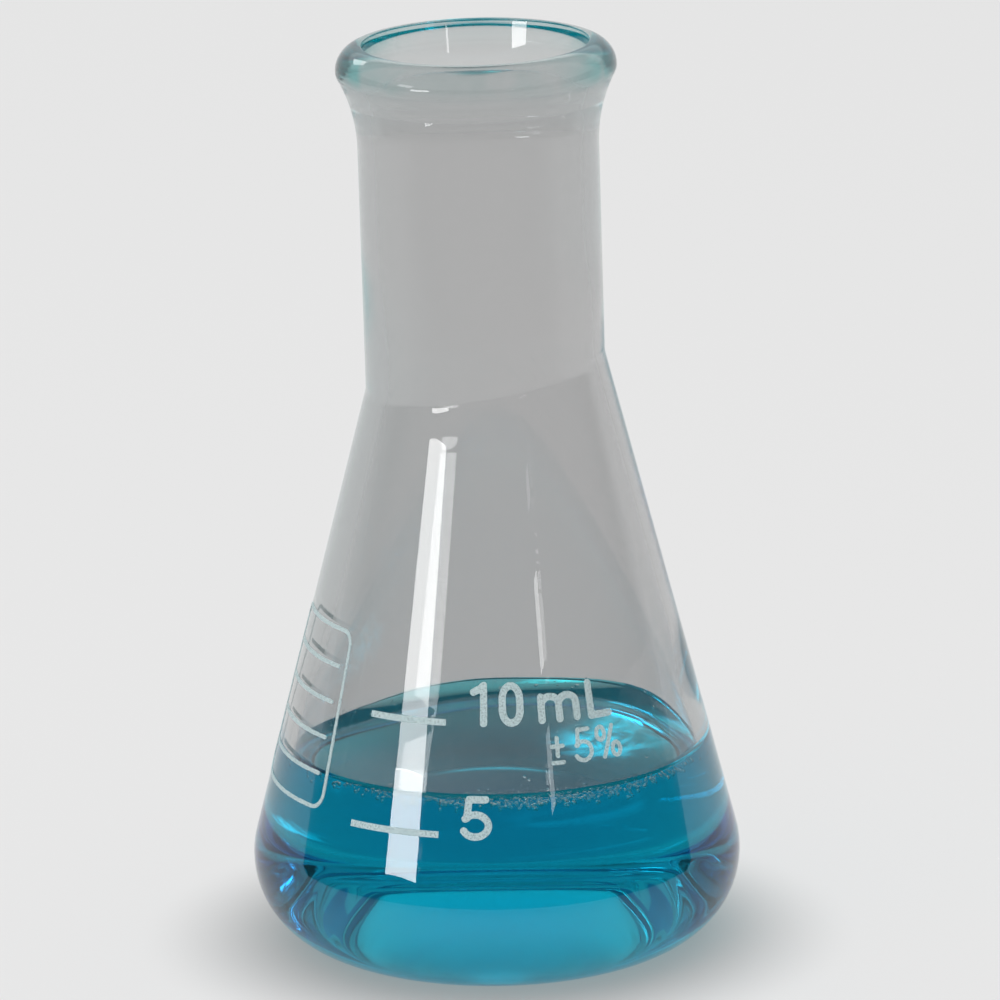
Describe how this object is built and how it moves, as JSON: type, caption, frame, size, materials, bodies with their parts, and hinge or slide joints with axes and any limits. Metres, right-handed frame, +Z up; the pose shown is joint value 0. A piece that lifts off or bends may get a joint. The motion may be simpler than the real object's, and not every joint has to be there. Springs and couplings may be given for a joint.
{
  "type": "erlenmeyer flask",
  "caption": "Small narrow-mouth conical laboratory flask of clear glass with a beaded lip, enamel graduation lines and a blue liquid inside.",
  "frame": {"origin": "centre of the base ring that the flask stands on", "axes": "+Z up along the flask's axis of revolution, -Y towards the printed front, +X to the right seen from the front"},
  "size_m": [0.032, 0.0318, 0.06],
  "materials": {
    "clear_glass": "fire-polished borosilicate glass, faintly aqua where it is thick",
    "blue_liquid": "clear dyed water",
    "white_enamel": "fired enamel print, satin"
  },
  "bodies": {
    "root": {"flask_glass": "clear_glass", "blue_liquid": "blue_liquid", "graduation_line_10_ml": "white_enamel", "graduation_line_5_ml": "white_enamel"}
  },
  "joints": []
}
